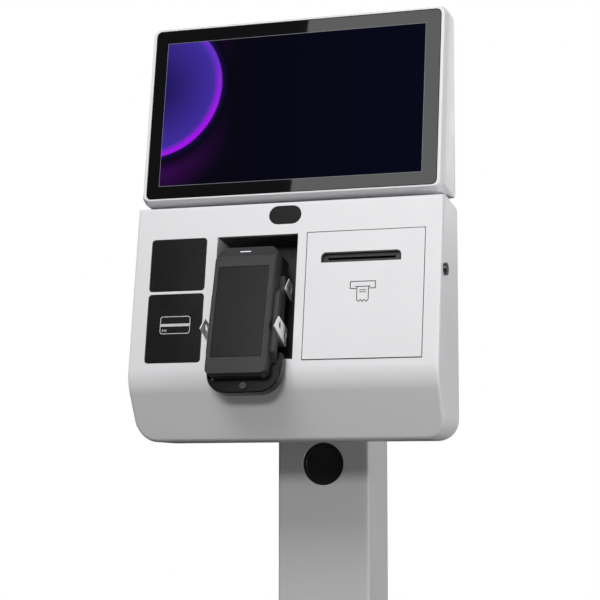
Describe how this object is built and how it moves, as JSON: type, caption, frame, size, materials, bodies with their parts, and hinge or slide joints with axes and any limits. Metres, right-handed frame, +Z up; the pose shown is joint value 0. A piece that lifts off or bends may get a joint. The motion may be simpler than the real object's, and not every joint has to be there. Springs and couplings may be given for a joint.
{
  "type": "self-service checkout kiosk",
  "caption": "Floor-standing self-service checkout kiosk: touch display above a sloped module with reader windows, a payment terminal in a clamp cradle and a receipt printer door, on a column.",
  "frame": {"origin": "on the floor under the middle of the square base plate", "axes": "+Z up, the front faces -Y, +X is to the right of someone who stands in front and faces the display"},
  "size_m": [0.42, 0.42, 1.3956],
  "materials": {
    "white_paint": "satin white powder coat",
    "column_paint": "fine-textured light grey powder coat",
    "dark_paint": "matte black powder coat",
    "black_gloss": "gloss black acrylic",
    "screen_glass": "gloss black-backed cover glass",
    "grey_plastic": "fine-textured dark grey moulding",
    "black_plastic": "matte black moulding",
    "steel": "plain zinc-plated sheet",
    "zinc": "nickel-plated",
    "rubber": "matte black rubber",
    "circuit": "green solder mask on glass-fibre board",
    "paper": "matte white thermal paper"
  },
  "bodies": {
    "kiosk": {"base_foot_front_left": "rubber", "base_foot_front_right": "rubber", "base_foot_rear_left": "rubber", "base_foot_rear_right": "rubber", "base_plate": "column_paint", "bracket_bolt_left": "zinc", "bracket_bolt_right": "zinc", "card_antenna_board": "circuit", "card_reader_window": "black_gloss", "chassis_plate": "steel", "column": "column_paint", "column_bracket": "steel", "column_flange": "column_paint", "column_port_cap": "black_plastic", "column_top_cap": "black_plastic", "cradle_mount": "dark_paint", "cradle_pin": "steel", "display_arm": "dark_paint", "display_glass": "screen_glass", "display_housing": "white_paint", "display_rear_cover": "white_paint", "door_hinge_leaf_left": "steel", "door_hinge_leaf_right": "steel", "lcd_panel": "zinc", "lock_nut": "zinc", "main_board": "circuit", "module_front_shell": "white_paint", "module_rear_cover": "white_paint", "paper_holder": "black_plastic", "power_supply": "steel", "print_head": "steel", "printer_frame": "black_plastic", "recess_liner": "white_paint", "scanner_engine": "black_plastic", "scanner_window": "black_gloss", "speaker": "black_plastic", "upper_reader_board": "circuit", "upper_reader_window": "black_gloss"},
    "printer_door": {"printer_door": "white_paint", "receipt_scoop": "grey_plastic", "door_hinge_pin": "steel"},
    "lock": {"lock_barrel": "zinc"},
    "platen": {"platen_roller": "rubber"},
    "paper": {"paper_roll": "paper", "paper_spindle": "black_plastic"},
    "head_lever": {"head_lever": "dark_paint"},
    "cradle": {"cradle_back": "dark_paint", "cradle_tray": "black_plastic", "tray_screw": "zinc", "clamp_arm_left": "grey_plastic", "clamp_tab_left_lower": "steel", "clamp_tab_left_upper": "steel"},
    "clamp_right": {"clamp_arm_right": "grey_plastic", "clamp_tab_right_lower": "steel", "clamp_tab_right_upper": "steel"},
    "payment_terminal": {"terminal_face": "grey_plastic", "terminal_glass": "screen_glass", "terminal_casing": "grey_plastic", "terminal_paper_cover": "grey_plastic"},
    "power_key": {"terminal_power_key": "black_plastic"}
  },
  "joints": [
    {"name": "door_hinge", "type": "hinge", "parent": "kiosk", "child": "printer_door", "pos_m": [0.104, -0.13354, 0.95563], "axis": [1, 0, 0], "range_deg": [0, 95]},
    {"name": "lock_turn", "type": "hinge", "parent": "kiosk", "child": "lock", "pos_m": [0.19, -0.10734, 1.06061], "axis": [1, 0, 0], "range_deg": [0, 90]},
    {"name": "platen_spin", "type": "hinge", "parent": "kiosk", "child": "platen", "pos_m": [0.104, -0.09805, 1.0754], "axis": [1, 0, 0], "continuous": true},
    {"name": "roll_spin", "type": "hinge", "parent": "kiosk", "child": "paper", "pos_m": [0.104, -0.08797, 0.99401], "axis": [1, 0, 0], "continuous": true},
    {"name": "head_release", "type": "hinge", "parent": "kiosk", "child": "head_lever", "pos_m": [0.155, -0.08134, 1.07897], "axis": [1, 0, 0], "range_deg": [0, 30]},
    {"name": "cradle_tilt", "type": "hinge", "parent": "kiosk", "child": "cradle", "pos_m": [-0.0425, -0.11076, 0.99034], "axis": [1, 0, 0], "range_deg": [-6, 3]},
    {"name": "clamp_slide", "type": "slide", "parent": "cradle", "child": "clamp_right", "axis": [1, 0, 0], "range_m": [0, 0.01]},
    {"name": "terminal_pull", "type": "slide", "parent": "cradle", "child": "payment_terminal", "axis": [0, -0.9659, 0.2588], "range_m": [0, 0.06]},
    {"name": "key_press", "type": "slide", "parent": "payment_terminal", "child": "power_key", "axis": [1, 0, 0], "range_m": [0, 0.0008], "stiffness_N_per_m": 600}
  ],
  "couplings": [
    {"joint": "roll_spin", "follows": "platen_spin", "ratio": -0.2069}
  ]
}
